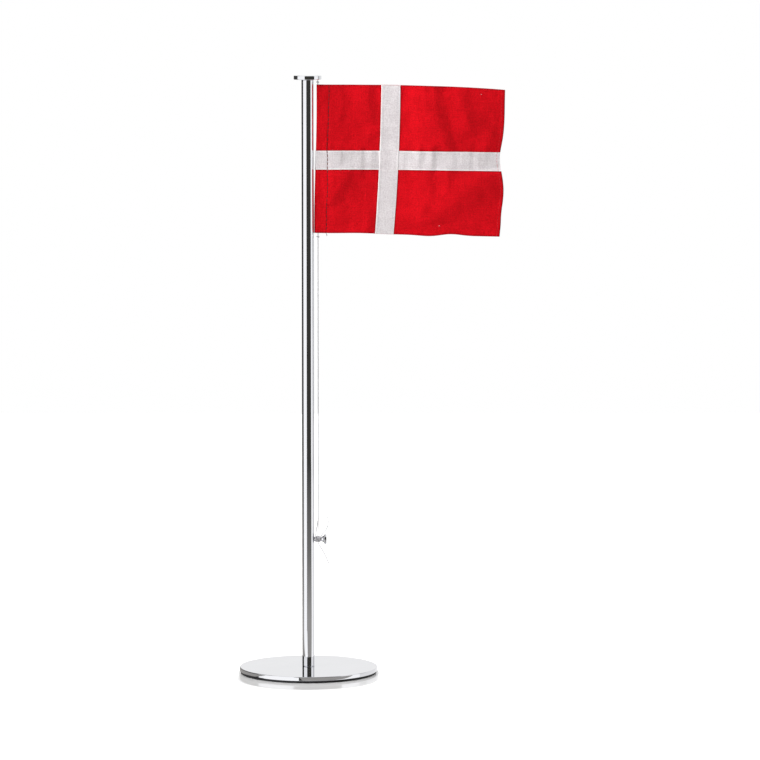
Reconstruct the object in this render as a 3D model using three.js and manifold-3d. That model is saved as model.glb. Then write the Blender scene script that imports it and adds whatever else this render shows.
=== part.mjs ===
// Desk flag stand: a polished round steel base on a soft pad, a slim steel tube pole with a
// flat round cap, a clear nylon halyard made fast on a turned cleat, and a small sewn cloth
// flag that hangs on the halyard and can be lowered and swung.
//
// Millimetres, +Z up. The origin is the middle of the pad's underside, on the pole's axis.
// The flag flies towards +X, and the cleat stands on the same side.

import * as THREE from 'three';
import { mergeVertices } from 'three/addons/utils/BufferGeometryUtils.js';
import Module from 'manifold-3d';

const wasm = await Module();
wasm.setup();

// Base
const PAD_RADIUS = 44.3;
const PAD_THICKNESS = 1.5;
const PLATE_RADIUS = 45;
const PLATE_THICKNESS = 2.7;
const PLATE_EDGE = 0.45;
const SCREW_RADIUS = 1.95;
const SCREW_HEAD_RADIUS = 3.8;
const SCREW_SOCKET_RADIUS = 1.25;
const SCREW_TOP = 16;
const SCREW_CLEARANCE = 0.15;

// Pole
const POLE_RADIUS = 4;
const POLE_BORE = 3.2;
const PLUG_RADIUS = 3.1;
const FOOT_PLUG_TOP = 22;

// Cap
const TOTAL_HEIGHT = 390;
const CAP_RADIUS = 9;
const CAP_THICKNESS = 2.6;
const CAP_EDGE = 0.35;
const CAP_SPIGOT_LENGTH = 10;

// Cleat: it stands out along +X
const CLEAT_HEIGHT = 88;
const CLEAT_NECK_RADIUS = 1.5;
const CLEAT_NECK_END = 8.2;
const CLEAT_HEAD_RADIUS = 3.35;
const CLEAT_HEAD_START = 10.4;
const CLEAT_END = 12;
const CLEAT_SHANK_RADIUS = 1.2;
const CLEAT_SHANK_START = -2;
const CLEAT_PLUG_LENGTH = 12;

// Halyard: two runs side by side, 2 * LINE_HALF_GAP apart along Y
const LINE_RADIUS = 0.25;
const LINE_X = 6.6;
const LINE_HALF_GAP = 0.3;
const LINE_STRAIGHT_BOTTOM = 104;
const LINE_STRAIGHT_TOP = 386.4;
const LINE_ARCH_RADIUS = 1;
const LINE_ARCH_Z = 388.7;
const LINE_SIDES = 8;
const CHANNEL_RADIUS = 0.42;
const WRAP_RADIUS = CLEAT_NECK_RADIUS + LINE_RADIUS + 0.12;
const WRAP_PITCH = 0.56;
const WRAP_STEPS = 10;
const FRONT_WRAP_X = 4.8;
const FRONT_WRAPS = 2;
const REAR_WRAP_X = 6.3;
const REAR_WRAPS = 2.5;

// Knots that hold the flag's sleeve on the halyard
const KNOT_RADIUS = 1;
const KNOT_BORE = 0.68;
const KNOT_HEIGHT = 1.2;
const UPPER_KNOT_Z = 385;
const LOWER_KNOT_Z = 285;

// Flag: its four corners in the XZ plane, as it hangs
const HOIST_TOP = new THREE.Vector2(5.7, 384.05);
const FLY_TOP = new THREE.Vector2(127.4, 380.7);
const HOIST_FOOT = new THREE.Vector2(4.3, 288.3);
const FLY_FOOT = new THREE.Vector2(124.4, 285.7);
const TOP_CROWN = 1.5;
const CLOTH_HALF = 0.25;
const SLEEVE_WIDTH = 6.9;
const SLEEVE_BORE = 0.75;
const SLEEVE_HALF = 0.97;
const FOLD_HALF = 0.22;
const CLOTH_COLUMNS = 26;
const CLOTH_ROWS = 14;
const FLY_DRIFT = 1.5;

// The main folds, as ridges towards the front: the ends of the crest, its height and half width
const FOLDS = [
  { from: [39.2, 384], to: [38, 363], height: 1.2, width: 6 },
  { from: [80.5, 384], to: [79, 352], height: 2.1, width: 9 },
  { from: [97, 380], to: [105.5, 354], height: 1.2, width: 6 },
  { from: [24.4, 326], to: [10, 309], height: 1.4, width: 5 },
  { from: [73, 328], to: [71, 301], height: 1.1, width: 6 },
  { from: [118.8, 320.5], to: [80.6, 295], height: 2.3, width: 8 },
];
const RIBBON_THICKNESS = 0.3;
const RIBBON_GAP = 0.3;
const BAR_AT_HOIST = [0.445, 0.573];
const BAR_AT_FLY = [0.43, 0.56];
const UPRIGHT_AT_TOP = [0.3455, 0.447];
const UPRIGHT_AT_FOOT = [0.3285, 0.4305];
const CROSSING_SPAN = [0.425, 0.585];
const CROSSING_RAMP = 0.05;

// Levels worked out from the sizes above
const PLATE_TOP = PAD_THICKNESS + PLATE_THICKNESS;
const CAP_BOTTOM = TOTAL_HEIGHT - CAP_THICKNESS;

const polishedSteel = { color: 0xc9ccd0, roughness: 0.08, metalness: 1 };
const plainSteel = { color: 0x9a9da1, roughness: 0.35, metalness: 1 };
const blackRubber = { color: 0x1b1b1c, roughness: 0.9, metalness: 0 };
const clearNylon = { color: 0xe6e4ee, roughness: 0.25, metalness: 0 };
const redCloth = { color: 0xcb1420, roughness: 0.85, metalness: 0 };
const whiteRibbon = { color: 0xe9e4e6, roughness: 0.7, metalness: 0 };

function piece(name, geometry, look) {
  const mesh = new THREE.Mesh(geometry, new THREE.MeshStandardMaterial(look));
  mesh.name = name;
  return mesh;
}

// A turned solid about Z. The profile holds [radius, height] pairs, counter-clockwise, and
// either starts and ends on the axis or closes on itself.
function turned(profile, segments = 48) {
  const points = profile.map(([radius, height]) => new THREE.Vector2(radius, height));
  return new THREE.LatheGeometry(points, segments).rotateX(Math.PI / 2);
}

function closed(profile) {
  return [...profile, profile[0]];
}

// Points of a quarter round from angle start to start + 90 degrees, in a profile.
function quarter(centreRadius, centreHeight, size, start, steps = 4) {
  const points = [];
  for (let i = 0; i <= steps; i += 1) {
    const angle = start + (Math.PI / 2) * (i / steps);
    points.push([centreRadius + size * Math.cos(angle), centreHeight + size * Math.sin(angle)]);
  }
  return points;
}

function rod(radius, length, segments = 24) {
  return turned([[0, 0], [radius, 0], [radius, length], [0, length]], segments);
}

function toManifold(geometry) {
  const bare = geometry.clone();
  bare.deleteAttribute('normal');
  bare.deleteAttribute('uv');
  const merged = mergeVertices(bare, 1e-4);
  return new wasm.Manifold(new wasm.Mesh({
    numProp: 3,
    vertProperties: new Float32Array(merged.attributes.position.array),
    triVerts: new Uint32Array(merged.index.array),
  }));
}

function fromManifold(solid) {
  const mesh = solid.getMesh();
  const geometry = new THREE.BufferGeometry();
  geometry.setAttribute('position', new THREE.BufferAttribute(mesh.vertProperties, 3));
  geometry.setIndex(new THREE.BufferAttribute(mesh.triVerts, 1));
  geometry.computeVertexNormals();
  return geometry;
}

function cut(geometry, ...tools) {
  let solid = toManifold(geometry);
  for (const tool of tools) {
    solid = solid.subtract(toManifold(tool));
  }
  return fromManifold(solid);
}

// A path through given points that an extrusion follows point by point.
class Route extends THREE.Curve {
  constructor(points) {
    super();
    this.points = points;
  }

  getPoint(t, target = new THREE.Vector3()) {
    const place = Math.min(Math.max(t, 0), 1) * (this.points.length - 1);
    const index = Math.min(Math.floor(place), this.points.length - 2);
    return target.lerpVectors(this.points[index], this.points[index + 1], place - index);
  }

  getUtoTmapping(u) {
    return u;
  }
}

function tube(points, radius, sides = LINE_SIDES) {
  const section = new THREE.Shape();
  for (let i = 0; i < sides; i += 1) {
    const angle = (2 * Math.PI * i) / sides;
    const [x, y] = [radius * Math.cos(angle), radius * Math.sin(angle)];
    if (i === 0) {
      section.moveTo(x, y);
    } else {
      section.lineTo(x, y);
    }
  }
  section.closePath();
  return new THREE.ExtrudeGeometry(section, {
    steps: points.length - 1,
    extrudePath: new Route(points),
  });
}

function basePad() {
  return piece('base_pad', turned([
    [0, 0],
    [PAD_RADIUS, 0],
    [PAD_RADIUS, PAD_THICKNESS],
    [0, PAD_THICKNESS],
  ], 72), blackRubber);
}

// The plate has rounded edges, and its middle hole is countersunk from below.
function basePlate() {
  const holeRadius = SCREW_RADIUS + 2 * SCREW_CLEARANCE;
  const sinkRadius = SCREW_HEAD_RADIUS + 2 * SCREW_CLEARANCE;
  const rim = PLATE_RADIUS - PLATE_EDGE;
  const plate = piece('base_plate', turned(closed([
    [sinkRadius, 0],
    ...quarter(rim, PLATE_EDGE, PLATE_EDGE, -Math.PI / 2),
    ...quarter(rim, PLATE_THICKNESS - PLATE_EDGE, PLATE_EDGE, 0),
    [holeRadius, PLATE_THICKNESS],
    [holeRadius, sinkRadius - holeRadius],
  ]), 96), polishedSteel);
  plate.position.z = PAD_THICKNESS;
  return plate;
}

// A countersunk screw from below, with its socket under the pad.
function baseScrew() {
  const headDepth = SCREW_HEAD_RADIUS - SCREW_RADIUS;
  const socketDepth = 1.2;
  const head = PAD_THICKNESS + SCREW_CLEARANCE;
  const screw = piece('base_screw', turned([
    [0, socketDepth],
    [SCREW_SOCKET_RADIUS, socketDepth],
    [SCREW_SOCKET_RADIUS, 0],
    [SCREW_HEAD_RADIUS, 0],
    [SCREW_RADIUS, headDepth],
    [SCREW_RADIUS, SCREW_TOP - head],
    [0, SCREW_TOP - head],
  ], 24), plainSteel);
  screw.position.z = head;
  return screw;
}

// The threaded plug in the tube's foot, which the base screw pulls down on the plate.
function footPlug() {
  const boreRadius = SCREW_RADIUS + 0.1;
  const boreDepth = SCREW_TOP + 2 - PLATE_TOP;
  const plug = piece('pole_foot_plug', turned([
    [0, boreDepth],
    [boreRadius, boreDepth],
    [boreRadius, 0],
    [PLUG_RADIUS, 0],
    [PLUG_RADIUS, FOOT_PLUG_TOP - PLATE_TOP],
    [0, FOOT_PLUG_TOP - PLATE_TOP],
  ], 24), plainSteel);
  plug.position.z = PLATE_TOP;
  return plug;
}

// The pole is a plain tube with one hole in its side for the cleat's shank.
function poleTube() {
  const length = CAP_BOTTOM - PLATE_TOP;
  const wall = turned(closed([
    [POLE_BORE, 0],
    [POLE_RADIUS, 0],
    [POLE_RADIUS, length],
    [POLE_BORE, length],
  ]), 48);
  const hole = rod(CLEAT_SHANK_RADIUS + 0.25, 3)
    .rotateY(Math.PI / 2)
    .translate(2, 0, CLEAT_HEIGHT - PLATE_TOP);
  const tubePiece = piece('pole_tube', cut(wall, hole), polishedSteel);
  tubePiece.position.z = PLATE_TOP;
  return tubePiece;
}

// The half of the halyard's arch in the cap on the side +Y, from below the cap to its crown.
function archLeg() {
  const slant = THREE.MathUtils.degToRad(20);
  const points = [
    new THREE.Vector3(LINE_X, LINE_HALF_GAP, LINE_STRAIGHT_TOP),
    new THREE.Vector3(LINE_X, LINE_HALF_GAP + 0.06, LINE_STRAIGHT_TOP + 0.4),
  ];
  const steps = 5;
  for (let i = 0; i <= steps; i += 1) {
    const angle = -slant + (Math.PI / 2 + slant) * (i / steps);
    points.push(new THREE.Vector3(
      LINE_X,
      LINE_ARCH_RADIUS * Math.cos(angle),
      LINE_ARCH_Z + LINE_ARCH_RADIUS * Math.sin(angle),
    ));
  }
  return points;
}

function mirrored(points) {
  return points.map((point) => new THREE.Vector3(point.x, -point.y, point.z));
}

// The cap is a rounded disc with a spigot in the tube. A small channel in its overhang leads
// the halyard up, over a bridge of metal and down again.
function finialCap() {
  const rim = CAP_RADIUS - CAP_EDGE;
  const foot = CAP_BOTTOM - CAP_SPIGOT_LENGTH;
  const disc = turned([
    [0, foot],
    [PLUG_RADIUS, foot],
    [PLUG_RADIUS, CAP_BOTTOM],
    ...quarter(rim, CAP_BOTTOM + CAP_EDGE, CAP_EDGE, -Math.PI / 2),
    ...quarter(rim, TOTAL_HEIGHT - CAP_EDGE, CAP_EDGE, 0),
    [0, TOTAL_HEIGHT],
  ], 48);
  const leg = archLeg();
  const crown = leg[leg.length - 1];
  const overrun = new THREE.Vector3(crown.x, crown.y - 0.3, crown.z);
  const path = [...leg, overrun];
  const channels = [path, mirrored(path)].map((points) => tube(points, CHANNEL_RADIUS));
  return piece('finial_cap', cut(disc, ...channels), polishedSteel);
}

// The cleat is turned from one bar: a threaded shank, a slim neck and a flared head.
function cleatPin() {
  const shoulder = POLE_RADIUS + 0.02;
  const flare = [];
  const steps = 4;
  for (let i = 1; i <= steps; i += 1) {
    const share = i / steps;
    const radius = CLEAT_NECK_RADIUS + (CLEAT_HEAD_RADIUS - 0.7 - CLEAT_NECK_RADIUS) * share ** 2;
    flare.push([radius, CLEAT_NECK_END + (CLEAT_HEAD_START - CLEAT_NECK_END) * share]);
  }
  const body = turned([
    [0, CLEAT_SHANK_START],
    [CLEAT_SHANK_RADIUS, CLEAT_SHANK_START],
    [CLEAT_SHANK_RADIUS, shoulder],
    [CLEAT_NECK_RADIUS, shoulder],
    [CLEAT_NECK_RADIUS, CLEAT_NECK_END],
    ...flare,
    [CLEAT_HEAD_RADIUS, CLEAT_HEAD_START + 0.3],
    [CLEAT_HEAD_RADIUS, CLEAT_END - 0.3],
    [CLEAT_HEAD_RADIUS - 0.3, CLEAT_END],
    [0, CLEAT_END],
  ], 24).rotateY(Math.PI / 2);
  const cleat = piece('cleat_pin', body, polishedSteel);
  cleat.position.z = CLEAT_HEIGHT;
  return cleat;
}

// A plug inside the tube that the cleat's shank screws into.
function cleatPlug() {
  const body = rod(PLUG_RADIUS, CLEAT_PLUG_LENGTH).translate(0, 0, -CLEAT_PLUG_LENGTH / 2);
  const hole = rod(CLEAT_SHANK_RADIUS + 0.12, 8)
    .rotateY(Math.PI / 2)
    .translate(CLEAT_SHANK_START - 0.5, 0, 0);
  const plug = piece('cleat_plug', cut(body, hole), plainSteel);
  plug.position.z = CLEAT_HEIGHT;
  return plug;
}

// Turns round the cleat's neck, from the given side (+1 is +Y) downwards, moving out along +X.
function wraps(side, startX, turns) {
  const points = [];
  const steps = Math.round(turns * WRAP_STEPS);
  for (let i = 0; i <= steps; i += 1) {
    const turn = i / WRAP_STEPS;
    const angle = 2 * Math.PI * turn;
    points.push(new THREE.Vector3(
      startX + WRAP_PITCH * turn,
      side * WRAP_RADIUS * Math.cos(angle),
      CLEAT_HEIGHT - WRAP_RADIUS * Math.sin(angle),
    ));
  }
  return points;
}

// The halyard's whole route: lower tail, wraps, front run up, arch in the cap, rear run down,
// wraps and upper tail.
function halyardRoute() {
  const lowerTail = [
    [13.5, -1.0, 71.8],
    [12.5, -1.2, 74.2],
    [11.4, -1.4, 76.7],
    [9.9, -1.6, 79.7],
    [8.2, -1.8, 82.7],
    [6.8, -1.9, 85.1],
    [6.1, -1.9, 86.7],
  ];
  const frontLead = [
    [4.84, -1.84, 89.6],
    [5.2, -1.5, 93.5],
    [6.2, -0.7, 99.5],
    [LINE_X, -LINE_HALF_GAP, LINE_STRAIGHT_BOTTOM],
  ];
  const rearLead = [
    [LINE_X, LINE_HALF_GAP, LINE_STRAIGHT_BOTTOM],
    [6.5, 0.7, 99.5],
    [6.36, 1.5, 93.5],
    [6.3, 1.84, 89.6],
  ];
  const upperTail = [
    [7.86, -1.9, 89.3],
    [8.7, -1.9, 90.8],
    [10.2, -1.8, 92.6],
    [11.7, -1.6, 94.4],
    [12.7, -1.4, 96.7],
    [13.0, -1.2, 99.0],
    [12.9, -1.0, 101.1],
    [12.6, -0.9, 103.0],
  ];
  const place = (list) => list.map((point) => new THREE.Vector3(...point));
  const leg = archLeg();
  return [
    ...place(lowerTail),
    ...wraps(-1, FRONT_WRAP_X, FRONT_WRAPS).reverse(),
    ...place(frontLead),
    ...mirrored(leg),
    ...leg.slice(0, -1).reverse(),
    ...place(rearLead),
    ...wraps(1, REAR_WRAP_X, REAR_WRAPS),
    ...place(upperTail),
  ];
}

function halyard() {
  return piece('halyard', tube(halyardRoute(), LINE_RADIUS), clearNylon);
}

function knot(name, height) {
  const ring = turned(closed([
    [KNOT_BORE, 0.1],
    [KNOT_RADIUS - 0.25, 0],
    [KNOT_RADIUS, 0.3],
    [KNOT_RADIUS, KNOT_HEIGHT - 0.3],
    [KNOT_RADIUS - 0.25, KNOT_HEIGHT],
    [KNOT_BORE, KNOT_HEIGHT - 0.1],
  ]), 12);
  const mesh = piece(name, ring, clearNylon);
  mesh.position.set(LINE_X, 0, height);
  return mesh;
}

function lerp(a, b, share) {
  return a + (b - a) * share;
}

// Height of one fold at a place in the flag: highest on its crest, fading beyond its ends.
function foldHeight({ from, to, height, width }, x, z) {
  const crest = new THREE.Line3(new THREE.Vector3(...from, 0), new THREE.Vector3(...to, 0));
  const place = new THREE.Vector3(x, z, 0);
  const nearest = crest.closestPointToPoint(place, true, new THREE.Vector3());
  return height * Math.exp(-((place.distanceTo(nearest) / width) ** 2));
}

// A point of the cloth's middle, from its place along the fly (0 to 1) and down the hoist
// (0 to 1), moved towards +Y by offset. The cloth is flat at the sleeve and waves further out.
function clothPoint(along, down, offset) {
  const top = HOIST_TOP.clone().lerp(FLY_TOP, along);
  top.y += TOP_CROWN * Math.sin(Math.PI * along);
  const foot = HOIST_FOOT.clone().lerp(FLY_FOOT, along);
  const place = top.lerp(foot, down);
  const drift = FLY_DRIFT * THREE.MathUtils.smoothstep(along, 0.55, 1);
  const folds = FOLDS.reduce((sum, fold) => sum + foldHeight(fold, place.x, place.y), 0);
  const calm = THREE.MathUtils.smoothstep(along, 0.06, 0.2);
  return new THREE.Vector3(place.x, calm * (drift - folds) + offset, place.y);
}

// Places along the cloth at one level, each with the cloth's half thickness there. The sleeve
// is thick round its bore and thin at its fold and at its seam.
function stations(down) {
  const hoist = lerp(HOIST_TOP.x, HOIST_FOOT.x, down);
  const fly = lerp(FLY_TOP.x, FLY_FOOT.x, down);
  const list = [{ along: 0, half: FOLD_HALF }];
  const roundness = (s) => Math.sqrt(Math.max(SLEEVE_HALF ** 2 - s ** 2, 0));
  for (const s of [-0.9, -0.7, -0.4, 0, 0.5, 1.4, 3, 5]) {
    const taper = s < 0 ? FOLD_HALF : lerp(SLEEVE_HALF, CLOTH_HALF, s / SLEEVE_WIDTH);
    list.push({
      along: (LINE_X + s - hoist) / (fly - hoist),
      half: Math.max(roundness(s), taper),
    });
  }
  const seam = (LINE_X + SLEEVE_WIDTH - hoist) / (fly - hoist);
  for (let i = 0; i <= CLOTH_COLUMNS; i += 1) {
    list.push({ along: lerp(seam, 1, i / CLOTH_COLUMNS), half: CLOTH_HALF });
  }
  return list;
}

function geometryOf(points, faces) {
  const geometry = new THREE.BufferGeometry().setFromPoints(points);
  geometry.setIndex(faces.flat());
  geometry.computeVertexNormals();
  return geometry;
}

// The red cloth with its hoist sleeve: level sections with a round bore, joined from the top
// edge to the bottom edge and closed at both.
function flagField() {
  const boreSides = 12;
  const points = [];
  const faces = [];
  const sections = [];
  for (let row = 0; row <= CLOTH_ROWS; row += 1) {
    const down = row / CLOTH_ROWS;
    const list = stations(down);
    const hoist = lerp(HOIST_TOP.x, HOIST_FOOT.x, down);
    const fly = lerp(FLY_TOP.x, FLY_FOOT.x, down);
    const front = list.map(({ along, half }) => clothPoint(along, down, -half));
    const back = list.map(({ along, half }) => clothPoint(along, down, half)).reverse();
    const bore = [];
    for (let i = 0; i < boreSides; i += 1) {
      const angle = (2 * Math.PI * i) / boreSides;
      const x = LINE_X + SLEEVE_BORE * Math.cos(angle);
      const point = clothPoint((x - hoist) / (fly - hoist), down, 0);
      bore.push(new THREE.Vector3(x, SLEEVE_BORE * Math.sin(angle), point.z));
    }
    sections.push({ outer: [...front, ...back], bore });
    points.push(...front, ...back, ...bore);
  }
  const outerCount = sections[0].outer.length;
  const sectionCount = outerCount + boreSides;
  for (let row = 0; row < CLOTH_ROWS; row += 1) {
    const upper = row * sectionCount;
    const lower = upper + sectionCount;
    for (let i = 0; i < outerCount; i += 1) {
      const next = (i + 1) % outerCount;
      faces.push([upper + i, lower + i, lower + next], [upper + i, lower + next, upper + next]);
    }
    for (let i = 0; i < boreSides; i += 1) {
      const [a, b] = [outerCount + i, outerCount + ((i + 1) % boreSides)];
      faces.push([upper + a, lower + b, lower + a], [upper + a, upper + b, lower + b]);
    }
  }
  const flat = (list) => list.map((point) => new THREE.Vector2(point.x, point.y));
  for (const row of [0, CLOTH_ROWS]) {
    const { outer, bore } = sections[row];
    const start = row * sectionCount;
    const boreOrder = bore.map((_, i) => (boreSides - i) % boreSides);
    const hole = boreOrder.map((i) => bore[i]);
    const order = [
      ...outer.map((_, i) => start + i),
      ...boreOrder.map((i) => start + outerCount + i),
    ];
    for (const [a, b, c] of THREE.ShapeUtils.triangulateShape(flat(outer), [flat(hole)])) {
      const face = [order[a], order[b], order[c]];
      faces.push(row === 0 ? face : face.reverse());
    }
  }
  return piece('flag_field', geometryOf(points, faces), redCloth);
}

// A ribbon on one side of the cloth (-1 is the front, towards -Y). rows holds lists of places,
// each with the distance of the ribbon's inner face from the cloth's middle.
function ribbon(name, side, rows) {
  const columns = rows[0].length;
  const points = [];
  const faces = [];
  for (const thickness of [0, RIBBON_THICKNESS]) {
    for (const row of rows) {
      for (const { along, down, lift } of row) {
        points.push(clothPoint(along, down, side * (lift + thickness)));
      }
    }
  }
  const layer = rows.length * columns;
  const quad = (a, b, c, d) => {
    faces.push(side < 0 ? [a, b, c] : [c, b, a]);
    faces.push(side < 0 ? [a, c, d] : [d, c, a]);
  };
  for (let r = 0; r < rows.length - 1; r += 1) {
    for (let c = 0; c < columns - 1; c += 1) {
      const corner = r * columns + c;
      const [a, b, e, f] = [corner, corner + 1, corner + columns + 1, corner + columns];
      quad(a, b, e, f);
      quad(a + layer, f + layer, e + layer, b + layer);
    }
  }
  const edge = (a, b) => quad(a, a + layer, b + layer, b);
  for (let c = 0; c < columns - 1; c += 1) {
    edge(c, c + 1);
    edge(layer - columns + c + 1, layer - columns + c);
  }
  for (let r = 0; r < rows.length - 1; r += 1) {
    edge((r + 1) * columns, r * columns);
    edge(r * columns + columns - 1, (r + 1) * columns + columns - 1);
  }
  return piece(name, geometryOf(points, faces), whiteRibbon);
}

// The level ribbon runs from the hoist fold to the fly.
function barRows() {
  const steps = 3;
  const rows = [];
  for (let i = 0; i <= steps; i += 1) {
    const atHoist = lerp(...BAR_AT_HOIST, i / steps);
    const atFly = lerp(...BAR_AT_FLY, i / steps);
    rows.push(stations(atHoist).map(({ along, half }) => ({
      along,
      down: lerp(atHoist, atFly, along),
      lift: half + RIBBON_GAP,
    })));
  }
  return rows;
}

// The upright ribbon runs from the top edge to the bottom edge, over the level one.
function uprightRows() {
  const [rise, fall] = CROSSING_SPAN;
  const levels = [0, 0.1, 0.2, 0.3, rise - CROSSING_RAMP, rise, 0.5, fall, fall + CROSSING_RAMP];
  levels.push(0.72, 0.81, 0.9, 1);
  const columns = 4;
  return levels.map((down) => {
    const row = [];
    const over = down >= rise && down <= fall ? RIBBON_THICKNESS + RIBBON_GAP : 0;
    for (let c = 0; c <= columns; c += 1) {
      row.push({
        along: lerp(lerp(...UPRIGHT_AT_TOP, c / columns), lerp(...UPRIGHT_AT_FOOT, c / columns), down),
        down,
        lift: CLOTH_HALF + RIBBON_GAP + over,
      });
    }
    return row;
  });
}

function flag() {
  const group = new THREE.Group();
  group.add(flagField());
  group.add(ribbon('ribbon_bar_front', -1, barRows()));
  group.add(ribbon('ribbon_bar_back', 1, barRows()));
  group.add(ribbon('ribbon_upright_front', -1, uprightRows()));
  group.add(ribbon('ribbon_upright_back', 1, uprightRows()));
  return group;
}

function base() {
  const group = new THREE.Group();
  group.add(basePad(), basePlate(), baseScrew());
  return group;
}

function pole() {
  const group = new THREE.Group();
  group.add(poleTube(), footPlug(), finialCap(), cleatPlug(), cleatPin());
  return group;
}

const stand = new THREE.Group();
stand.add(base(), pole(), halyard());
stand.add(knot('knot_upper', UPPER_KNOT_Z), knot('knot_lower', LOWER_KNOT_Z));
stand.add(flag());

export default stand;
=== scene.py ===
"""Looks of the desk flag stand: polished steel, a nylon halyard and a small sewn flag."""

import math

import bpy
import numpy as np
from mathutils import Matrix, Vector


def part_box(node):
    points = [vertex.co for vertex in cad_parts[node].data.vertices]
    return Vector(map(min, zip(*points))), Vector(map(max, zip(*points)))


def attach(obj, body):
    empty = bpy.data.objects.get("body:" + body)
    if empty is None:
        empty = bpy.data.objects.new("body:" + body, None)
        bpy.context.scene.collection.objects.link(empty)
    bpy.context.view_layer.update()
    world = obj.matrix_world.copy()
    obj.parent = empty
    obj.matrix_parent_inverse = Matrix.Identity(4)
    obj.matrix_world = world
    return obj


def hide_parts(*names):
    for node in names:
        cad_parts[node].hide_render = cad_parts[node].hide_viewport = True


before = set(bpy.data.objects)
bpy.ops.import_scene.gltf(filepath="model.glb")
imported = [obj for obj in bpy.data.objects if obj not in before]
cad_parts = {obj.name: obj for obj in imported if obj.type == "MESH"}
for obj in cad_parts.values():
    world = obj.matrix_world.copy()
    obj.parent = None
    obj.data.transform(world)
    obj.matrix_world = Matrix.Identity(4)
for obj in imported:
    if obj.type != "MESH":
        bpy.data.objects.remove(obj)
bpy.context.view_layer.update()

MM = 0.001
scene = bpy.context.scene
scene.view_settings.view_transform = "Standard"
rng = np.random.default_rng(7)


# ---------------------------------------------------------------- small helpers

def lerp(a, b, share):
    return a + (b - a) * share


def smoothstep(low, high, value):
    share = np.clip((value - low) / (high - low), 0.0, 1.0)
    return share * share * (3.0 - 2.0 * share)


def box_mm(node):
    """Lowest and highest corner of a CAD node in millimetres."""
    low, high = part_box(node)
    return np.array(low) / MM, np.array(high) / MM


def mesh_object(name, points_mm, faces, smooth=True, sharp_angle=None):
    mesh = bpy.data.meshes.new(name)
    points = np.asarray(points_mm, float) * MM
    mesh.from_pydata([tuple(p) for p in points], [], [tuple(f) for f in faces])
    mesh.validate()
    if smooth:
        mesh.shade_smooth()
    if sharp_angle is not None:
        mesh.set_sharp_from_angle(angle=math.radians(sharp_angle))
    obj = bpy.data.objects.new(name, mesh)
    scene.collection.objects.link(obj)
    return obj


def grid_faces(rows, columns, wrap=False, start=0):
    """Quads of a grid of rows x columns points, the last column joined to the first if wrap."""
    faces = []
    for r in range(rows - 1):
        for c in range(columns if wrap else columns - 1):
            n = (c + 1) % columns
            a, b = start + r * columns + c, start + r * columns + n
            faces.append((a, b, b + columns, a + columns))
    return faces


def turned(name, profile, segments=128, axis="Z", centre=(0, 0, 0)):
    """A turned solid. The profile holds (radius, height) pairs in mm, from the lowest point up
    the outside; a radius of 0 closes the solid on the axis."""
    points, rings = [], []
    for radius, height in profile:
        if radius < 1e-6:
            rings.append([len(points)])
            points.append((0.0, 0.0, height))
            continue
        ring = []
        for i in range(segments):
            angle = 2 * math.pi * i / segments
            ring.append(len(points))
            points.append((radius * math.cos(angle), radius * math.sin(angle), height))
        rings.append(ring)
    faces = []
    for low, high in zip(rings, rings[1:]):
        for i in range(segments):
            n = (i + 1) % segments
            if len(low) == 1:
                faces.append((low[0], high[n], high[i]))
            elif len(high) == 1:
                faces.append((low[i], low[n], high[0]))
            else:
                faces.append((low[i], low[n], high[n], high[i]))
    points = np.array(points)
    if axis == "X":
        points = points[:, [2, 0, 1]]
    return mesh_object(name, points + np.array(centre, float), faces, sharp_angle=50)


def arc(centre_radius, centre_height, size, start, end, steps=6):
    """Profile points on a round edge, from angle start to angle end in degrees."""
    angles = np.radians(np.linspace(start, end, steps + 1))
    return [(centre_radius + size * math.cos(a), centre_height + size * math.sin(a)) for a in angles]


def smooth_path(points, per_span=6):
    """A Catmull-Rom curve through the points, with per_span steps between each two."""
    p = np.array(points, float)
    padded = np.vstack([2 * p[0] - p[1], p, 2 * p[-1] - p[-2]])
    out = []
    for i in range(1, len(padded) - 2):
        a, b, c, d = padded[i - 1: i + 3]
        for k in range(per_span):
            t = k / per_span
            out.append(0.5 * (2 * b + (c - a) * t + (2 * a - 5 * b + 4 * c - d) * t ** 2
                              + (3 * b - a - 3 * c + d) * t ** 3))
    out.append(p[-1])
    return np.array(out)


def tube_points(path, radii, sides=8):
    """Rings round a path; radii is one number for each path point."""
    path = np.asarray(path, float)
    tangent = np.gradient(path, axis=0)
    tangent /= np.linalg.norm(tangent, axis=1)[:, None]
    normal = np.cross(tangent[0], (0.3, 0.9, 0.31))
    points = []
    for centre, along, radius in zip(path, tangent, radii):
        normal = normal - along * np.dot(normal, along)
        normal /= np.linalg.norm(normal)
        other = np.cross(along, normal)
        for i in range(sides):
            angle = 2 * math.pi * i / sides
            points.append(centre + radius * (math.cos(angle) * normal + math.sin(angle) * other))
    return points


def tubes_object(name, paths, radius, sides=8):
    """Several round-ended threads as one mesh."""
    points, faces = [], []
    for path in paths:
        start = len(points)
        radii = np.full(len(path), radius)
        radii[[0, -1]] *= 0.35
        points += tube_points(path, radii, sides)
        faces += grid_faces(len(path), sides, wrap=True, start=start)
        faces.append(tuple(range(start + sides - 1, start - 1, -1)))
        last = start + (len(path) - 1) * sides
        faces.append(tuple(range(last, last + sides)))
    return mesh_object(name, points, faces)


def set_attribute(obj, name, values):
    obj.data.attributes.new(name, "FLOAT", "POINT").data.foreach_set("value", values)


def clean_edges(obj):
    """Keeps the broad flat faces flat where they meet rounded edges."""
    modifier = obj.modifiers.new("even_normals", "WEIGHTED_NORMAL")
    modifier.keep_sharp = True
    modifier.weight = 80
    return obj


# ---------------------------------------------------------------- materials

def new_material(name):
    material = bpy.data.materials.new(name)
    material.use_nodes = True
    nodes, links = material.node_tree.nodes, material.node_tree.links
    return material, nodes, links, nodes["Principled BSDF"]


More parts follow.
